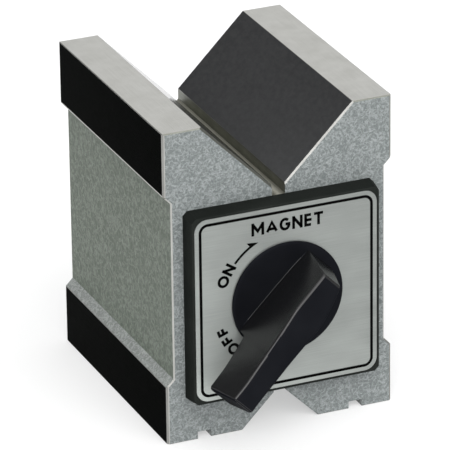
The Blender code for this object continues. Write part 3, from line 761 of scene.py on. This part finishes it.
def ribbon(points, width):
    """Outline of a line of even width along points, with square ends and short mitres."""
    longest_mitre = 1.7
    points = [Vector(point) for point in points]
    left, right = [], []
    for index, point in enumerate(points):
        before = (point - points[index - 1]).normalized() if index else None
        after = (points[index + 1] - point).normalized() if index + 1 < len(points) else None
        normals = [Vector((-way.y, way.x)) for way in (before, after) if way]
        across = sum(normals, Vector((0.0, 0.0))).normalized()
        reach = width / 2 * min(1 / across.dot(normals[0]), longest_mitre)
        left.append(point + across * reach)
        right.append(point - across * reach)
    return left + right[::-1]


def bowl(start, end, steps=20):
    """Points of a round letter, in the unit box."""
    return arc((0.5, 0.5), 0.5, start, end, steps)


LETTERS = {
    # strokes in a box one unit wide and high
    "O": (bowl(0, 180), bowl(180, 360)),
    "N": (((0, 0), (0, 1)), ((0, 1), (1, 0)), ((1, 0), (1, 1))),
    "F": (((0, 0), (0, 1), (1, 1)), ((0, 0.5), (0.8, 0.5))),
    "M": (((0, 0), (0, 1)), ((0, 1), (0.5, 0.3), (1, 1)), ((1, 1), (1, 0))),
    "A": (((0, 0), (0.5, 0.93), (1, 0)), ((0.2, 0.27), (0.8, 0.27))),
    "G": (bowl(45, 345) + [(0.98, 0.5), (0.55, 0.5)],),
    "E": (((1, 1), (0, 1), (0, 0), (1, 0)), ((0, 0.5), (0.85, 0.5))),
    "T": (((0, 1), (1, 1)), ((0.5, 0), (0.5, 1))),
}


def add_letter(builder, letter, width, height, matrix):
    """A letter of that outer size, centred across, standing on the origin in the x-z plane."""
    inner_width = width - STROKE
    inner_height = height - STROKE
    for points in LETTERS[letter]:
        placed = [Vector(((x - 0.5) * inner_width, STROKE / 2 + z * inner_height)) for x, z in points]
        if len(points) == 2:
            # a straight stroke grows at both ends, by half its width or less where it slants
            way = (placed[1] - placed[0]).normalized()
            grow = way * max(abs(way.x), abs(way.y)) ** 2 * STROKE / 2
            placed = [placed[0] - grow, placed[1] + grow]
        rings = []
        for y in (INK_FACE, PLATE_LOW.y):
            rings.append([matrix @ Vector((x, y, z)) for x, z in ribbon(placed, STROKE)])
        add_loft(builder, rings)


def make_dial_word(name, letters, looks):
    """Letters round the knob, each with its angle in degrees and its width, their tops outwards."""
    to_axis = Matrix.Translation((0.0, 0.0, AXIS_Z))
    to_foot = Matrix.Translation((0.0, 0.0, LETTER_FOOT))
    builder = bmesh.new()
    for letter, angle, width in letters:
        turn = Matrix.Rotation(math.radians(90 - angle), 4, "Y")
        add_letter(builder, letter, width, LETTER_HEIGHT, to_axis @ turn @ to_foot)
    return place(new_piece(name, builder, [looks["ink"]]), "block")


def make_heading(looks):
    """A plain word over the knob, its letters spaced evenly."""
    height = 3.9 * MM
    gap = 0.5 * MM
    off_center = 0.3 * MM
    foot = AXIS_Z + 20.4 * MM
    widths = {"M": 3.9 * MM, "A": 3.7 * MM, "G": 3.4 * MM, "N": 3.2 * MM, "E": 2.5 * MM, "T": 2.8 * MM}
    word = "MAGNET"
    start = -(sum(widths[letter] for letter in word) + gap * (len(word) - 1)) / 2
    builder = bmesh.new()
    for letter in word:
        middle = start + widths[letter] / 2 + off_center
        matrix = Matrix.Translation((middle, 0.0, foot))
        add_letter(builder, letter, widths[letter], height, matrix)
        start += widths[letter] + gap
    place(new_piece("mark_word", builder, [looks["ink"]]), "block")


def make_arrow(looks):
    """Curved line and half head that point the way to ON."""
    radius = 20.5 * MM
    half = 0.36 * MM
    barb = 22.2 * MM
    start = 140.6
    neck = 123.0
    tip = 115.2
    bulge = 0.9
    center = (0.0, AXIS_Z)
    outline = arc(center, radius + half, start, neck, 14)
    outline += arc(center, barb, neck + 0.4, neck + 0.4, 1)[:1]
    for share in (0.35, 0.7, 1.0):
        angle = neck + (tip - neck) * share
        reach = barb - (barb - radius + half) * share ** bulge
        outline += arc(center, reach, angle, angle, 1)[:1]
    outline += arc(center, radius - half, tip + 0.6, start, 18)
    builder = bmesh.new()
    add_prism(builder, outline, INK_FACE, PLATE_LOW.y)
    return place(new_piece("mark_arrow", builder, [looks["ink"]]), "block")


def make_marks(looks):
    wide = 3.7 * MM
    medium = 3.1 * MM
    narrow = 2.5 * MM
    make_border(looks)
    make_arrow(looks)
    make_dial_word("mark_on", (("O", 157.3, wide), ("N", 146.9, medium)), looks)
    make_dial_word("mark_off", (("O", 218.5, wide), ("F", 208.6, narrow), ("F", 200.0, narrow)), looks)
    make_heading(looks)


# Knob

STATIONS = (
    # distance from the axis at the front and at the back, half width at the front and at
    # the back, height of the front and of the back over the block's face, in millimetres
    (-12.0, -14.2, 3.4, 5.2, 18.3, 5.9),
    (-6.5, -7.0, 4.4, 5.6, 19.9, 5.9),
    (0.0, 0.0, 5.1, 5.7, 21.1, 5.9),
    (5.0, 5.0, 4.8, 5.7, 21.7, 5.9),
    (10.0, 10.0, 4.4, 5.7, 22.2, 5.9),
    (15.6, 15.6, 4.1, 5.6, 22.7, 5.9),
    (16.0, 16.0, 4.1, 5.2, 22.8, 8.8),
    (21.0, 21.0, 3.9, 5.0, 23.3, 10.3),
    (26.0, 26.4, 3.7, 4.7, 23.8, 11.1),
    (31.2, 33.6, 3.8, 4.7, 24.1, 11.9),
)
STEP_STATION = 5


def spline(before, start, end, after, share):
    """Catmull-Rom curve between start and end."""
    rise = (end - before) / 2
    run = (after - start) / 2
    square = share * share
    cube = square * share
    return ((2 * cube - 3 * square + 1) * start + (cube - 2 * square + share) * rise
            + (3 * square - 2 * cube) * end + (cube - square) * run)


def smooth_stations(steps):
    """The lever's cross sections with more of them in between, on smooth curves."""
    made = []
    for index in range(len(STATIONS) - 1):
        start = STATIONS[index]
        end = STATIONS[index + 1]
        before = STATIONS[max(index - 1, 0)]
        after = STATIONS[min(index + 2, len(STATIONS) - 1)]
        count = 2 if index == STEP_STATION else steps
        for step in range(count):
            share = step / count
            values = [spline(a, b, c, d, share) for a, b, c, d in zip(before, start, end, after)]
            values[5] = start[5] + (end[5] - start[5]) * share
            made.append(values)
    made.append(list(STATIONS[-1]))
    return made


def fillet(points, radii, steps):
    """A closed outline with its corners rounded."""
    made = []
    for index, radius in enumerate(radii):
        after = points[(index + 1) % len(points)]
        made += round_corner(points[index - 1], points[index], after, radius, steps)
    return made


def lever_ring(values, narrow=0.0, shrink=0.0, advance=0.0):
    """One cross section in the frame, its sides and its height drawn in, and moved along."""
    front_at, back_at, front_half, back_half, front_height, back_height = values
    roundings = (0.9, 0.75, 0.35, 0.35)
    outline = [
        (-front_half, front_height),
        (front_half, front_height),
        (back_half, back_height),
        (-back_half, back_height),
    ]
    middle = (front_height + back_height) / 2
    tall = (front_height - back_height) / 2
    ring = []
    for across, height in fillet(outline, roundings, 5):
        squeezed = across * (1 - narrow / back_half)
        height = middle + (height - middle) * (1 - shrink / tall)
        share = (height - back_height) / (front_height - back_height)
        distance = back_at + (front_at - back_at) * share + advance
        point = (LEVER_ALONG * distance + LEVER_ACROSS * squeezed) * MM
        ring.append((point.x, FRONT - height * MM, AXIS_Z + point.z))
    return ring


def add_lever(builder):
    """The bar across the disc, its long edges and both ends rounded; sizes in millimetres."""
    soft = 0.45
    tip_corner = 1.0
    stations = smooth_stations(6)
    rings = []
    for degrees in (0.0, 30.0, 60.0):
        turn = math.radians(degrees)
        inward = soft * (1 - math.sin(turn))
        rings.append(lever_ring(stations[0], inward, inward, soft * (1 - math.cos(turn))))
    for values in stations[1:-1]:
        rings.append(lever_ring(values))
    for degrees in (75.0, 60.0, 45.0, 30.0, 15.0, 0.0):
        turn = math.radians(degrees)
        inward = 1 - math.sin(turn)
        advance = -tip_corner * (1 - math.cos(turn))
        rings.append(lever_ring(stations[-1], tip_corner * inward, soft * inward, advance))
    add_loft(builder, rings)


def soften_foot(knob, face):
    """Small fillets along the lever where it stands on the disc, whose front is at y = face."""
    axis = Vector((0.0, face, AXIS_Z))
    tail = -12.8 * MM
    rim = 13.8 * MM
    on_face = 0.01 * MM
    bent = 0.3
    size = 0.22 * MM
    builder = bmesh.new()
    builder.from_mesh(knob.data)
    foot = []
    for edge in builder.edges:
        level = all(abs(vert.co.y - face) < on_face for vert in edge.verts)
        inside = all(tail < (vert.co - axis).dot(LEVER_ALONG) < rim for vert in edge.verts)
        if level and inside and not edge.is_convex and edge.calc_face_angle() > bent:
            foot.append(edge)
    bmesh.ops.bevel(builder, geom=foot, offset=size, segments=3, profile=0.5, affect="EDGES")
    builder.to_mesh(knob.data)
    builder.free()


def add_grub_hole(builder):
    """A round cutter from the shaft's axis out through the lever's lower right side."""
    depth = 10.0 * MM
    radius = 1.7 * MM
    turn = LEVER_ACROSS.to_track_quat("Z", "Y").to_matrix().to_4x4()
    middle = Vector((0.0, FRONT - 12.0 * MM, AXIS_Z)) + LEVER_ACROSS * (depth / 2)
    bmesh.ops.create_cone(builder, cap_ends=True, segments=32, radius1=radius, radius2=radius,
                          depth=depth, matrix=Matrix.Translation(middle) @ turn)


def tell_gloss(knob, face):
    """Glossy are the lever's upper left flank, tail and underside; the rest of the knob is matt."""
    clear = 0.05 * MM
    for side in knob.data.polygons:
        flank = side.center.y < face - clear and side.normal.y > -0.9
        glossy = flank and side.normal.dot(LEVER_ACROSS) < 0.25 and side.normal.dot(LEVER_ALONG) < 0.5
        side.material_index = 0 if glossy else 1


def make_knob(looks):
    """Disc with a softened rim, hub, and the lever joined on."""
    face = FRONT - 6.2 * MM
    back = FRONT - 5.6 * MM
    hub_end = FRONT - 2.95 * MM
    radius = 17.0 * MM
    hub = 9.4 * MM
    outline = [
        (hub, hub_end),
        (hub, back),
        (radius - 0.1 * MM, back),
        (radius, back - 0.1 * MM),
        (radius, back - 0.25 * MM),
        (radius - 0.12 * MM, back - 0.42 * MM),
        (radius - 0.55 * MM, face + 0.03 * MM),
        (radius - 0.85 * MM, face),
    ]
    builder = bmesh.new()
    add_turned(builder, outline, 144)
    knob = new_piece("knob_moulding", builder, [looks["knob"], looks["knob_face"]])
    builder = bmesh.new()
    add_lever(builder)
    bmesh.ops.recalc_face_normals(builder, faces=builder.faces)
    cut(knob, builder, "UNION")
    soften_foot(knob, face)

    shaft_hole = 3.1 * MM
    builder = bmesh.new()
    add_turned(builder, [(shaft_hole, FRONT - 16.5 * MM), (shaft_hole, hub_end + PAST)], 48)
    cut(knob, builder)
    builder = bmesh.new()
    add_grub_hole(builder)
    cut(knob, builder)
    tell_gloss(knob, face)
    return place(knob, "switch", ("knob",))


# Back of the block

def make_cover(looks):
    """Round cover with a stepped rim, a turned ring and countersunk holes."""
    radius = (COVER_HIGH.x - COVER_LOW.x) / 2 + 0.1 * MM
    outer = COVER_HIGH.y
    inner = COVER_LOW.y
    bush_seat = 6.3 * MM
    ring_depth = 0.3 * MM
    outline = [
        (bush_seat, outer - 1.2 * MM),
        (bush_seat, inner),
        (radius, inner),
        (radius, outer - 0.4 * MM),
        (radius - 0.12 * MM, outer - 0.12 * MM),
        (radius - 0.4 * MM, outer),
        (17.2 * MM, outer),
        (17.0 * MM, outer - ring_depth),
        (16.4 * MM, outer - ring_depth),
        (16.2 * MM, outer),
    ]
    builder = bmesh.new()
    add_turned(builder, outline, 128)
    cover = new_piece("rear_cover_disc", builder, [looks["cover"]])

    head = 3.0 * MM
    shank = 1.7 * MM
    sink = [
        (head, outer + PAST),
        (head, outer - 0.25 * MM),
        (shank, outer - 1.5 * MM),
        (shank, inner - PAST),
    ]
    builder = bmesh.new()
    for x, z in square_pattern(SCREW_CIRCLE / math.sqrt(2)):
        add_turned(builder, sink, 40, (x, z))
    cut(cover, builder)
    place(cover, "block", ("rear_cover",))


def make_cover_screws(looks):
    """Countersunk screws with hexagon sockets, in the cover's corners."""
    outer = COVER_HIGH.y
    shank = 1.5 * MM
    head = 2.75 * MM
    socket = 1.2 * MM
    for index in range(1, 5):
        node = f"rear_cover_screw_{index}"
        low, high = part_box(node)
        center = ((low.x + high.x) / 2, (low.z + high.z) / 2 - AXIS_Z)
        outline = [
            (shank, low.y),
            (shank, outer - 1.5 * MM),
            (head, outer - 0.22 * MM),
            (head, outer - 0.1 * MM),
            (head - 0.15 * MM, outer - 0.02 * MM),
        ]
        builder = bmesh.new()
        add_turned(builder, outline, 40, center)
        screw = new_piece(f"cover_screw_{index}", builder, [looks["screw"]])
        builder = bmesh.new()
        add_turned(builder, [(socket, outer - 1.1 * MM), (socket, outer + PAST)], 6, center)
        cut(screw, builder)
        place(screw, "block", (node,))


# Stage

FLOOR_REACH = 40.0
FLOOR_GLOW = 0.45
SKY_BASE = 0.15
SOFT_BOXES = (
    # direction towards the box, inner and outer half angle in degrees, radiance
    ((0.36, 0.84, 0.42), 16.0, 42.0, 0.50),
    ((0.0, -0.2, 1.0), 20.0, 60.0, 1.4),
    ((0.75, -0.55, 0.45), 20.0, 60.0, 0.4),
    ((-0.50, -0.68, 0.50), 10.0, 20.0, 3.6),
)


def make_floor():
    """Pale floor that glows a little, so that shadows on it stay light."""
    builder = bmesh.new()
    bmesh.ops.create_grid(builder, x_segments=1, y_segments=1, size=FLOOR_REACH)
    surface = Surface("pale_floor", 0.9, 0.0, 0.1)
    surface.shader.inputs["Emission Color"].default_value = (1.0, 1.0, 1.0, 1.0)
    surface.shader.inputs["Emission Strength"].default_value = FLOOR_GLOW
    clouds = surface.noise(surface.scaled(180.0, 180.0, 180.0), 2.0)
    color = surface.blend(surface.span(clouds, 0.3, 0.7), (0.49, 0.49, 0.49), (0.51, 0.51, 0.51))
    floor = new_piece("floor", builder, [surface.finish(color)])
    floor.location.z = -0.05 * MM


def combine(tree, operation, first, second):
    """A Math node of the world's tree, fed by an output and by an output or a number."""
    made = tree.nodes.new("ShaderNodeMath")
    made.operation = operation
    tree.links.new(first, made.inputs[0])
    if isinstance(second, float):
        made.inputs[1].default_value = second
    else:
        tree.links.new(second, made.inputs[1])
    return made.outputs[0]


def soft_box(tree, view, direction, inner, outer, strength):
    """Light from round one direction, full inside one half angle and none outside the other."""
    dot = tree.nodes.new("ShaderNodeVectorMath")
    dot.operation = "DOT_PRODUCT"
    tree.links.new(view, dot.inputs[0])
    dot.inputs[1].default_value = Vector(direction).normalized()
    box = tree.nodes.new("ShaderNodeMapRange")
    box.interpolation_type = "SMOOTHSTEP"
    tree.links.new(dot.outputs["Value"], box.inputs["Value"])
    box.inputs["From Min"].default_value = math.cos(math.radians(outer))
    box.inputs["From Max"].default_value = math.cos(math.radians(inner))
    box.inputs["To Max"].default_value = strength
    return box.outputs["Result"]


def make_sky():
    """Soft studio surround: broad soft boxes over a base tone; seen directly, it is white."""
    world = bpy.data.worlds.new("studio")
    bpy.context.scene.world = world
    world.use_nodes = True
    tree = world.node_tree
    view = tree.nodes.new("ShaderNodeTexCoord").outputs["Generated"]
    total = soft_box(tree, view, *SOFT_BOXES[0])
    for box in SOFT_BOXES[1:]:
        total = combine(tree, "ADD", total, soft_box(tree, view, *box))
    total = combine(tree, "ADD", total, SKY_BASE)
    seen = tree.nodes.new("ShaderNodeLightPath").outputs["Is Camera Ray"]
    background = tree.nodes["Background"]
    background.inputs["Color"].default_value = (1.0, 1.0, 1.0, 1.0)
    tree.links.new(combine(tree, "MAXIMUM", total, seen), background.inputs["Strength"])


def make_key_light():
    light = bpy.data.lights.new("key", "SUN")
    light.energy = 1.7
    light.angle = math.radians(60)
    item = bpy.data.objects.new("key", light)
    bpy.context.scene.collection.objects.link(item)
    item.rotation_euler = Vector((0.0, -0.75, 0.62)).to_track_quat("Z", "Y").to_euler()


def make_camera():
    """Camera at the left of the front, looking down, with a long lens."""
    azimuth = math.radians(23.02)
    elevation = math.radians(23.75)
    roll = math.radians(-0.763)
    distance = 1.4198
    data = bpy.data.cameras.new("camera")
    data.lens = 392.5
    data.sensor_width = 36.0
    data.clip_start = 0.01
    data.clip_end = 200.0
    camera = bpy.data.objects.new("camera", data)
    bpy.context.scene.collection.objects.link(camera)
    level = Vector((math.cos(azimuth), -math.sin(azimuth), 0.0))
    outward = Vector((-math.sin(azimuth), -math.cos(azimuth), 0.0))
    back = outward * math.cos(elevation) + Vector((0.0, 0.0, math.sin(elevation)))
    rise = back.cross(level)
    right = level * math.cos(roll) + rise * math.sin(roll)
    up = rise * math.cos(roll) - level * math.sin(roll)
    target = Vector((0.0, (FRONT + BACK) / 2, 46.33 * MM))
    matrix = Matrix((right, up, back)).transposed().to_4x4()
    matrix.translation = target + back * distance
    camera.matrix_world = matrix
    bpy.context.scene.camera = camera


def main():
    scene = bpy.context.scene
    scene.view_settings.view_transform = "Standard"
    scene.view_settings.look = "None"
    make_camera()
    make_sky()
    make_key_light()
    make_floor()
    looks = make_materials()
    dress_cad_nodes(looks)
    make_pole("left_pole", -1.0, LEFT_V_CHAMFER, looks)
    make_pole("right_pole", 1.0, RIGHT_V_CHAMFER, looks)
    make_strips(looks)
    make_bezel(looks)
    make_plate(looks)
    make_marks(looks)
    make_knob(looks)
    make_cover(looks)
    make_cover_screws(looks)


main()
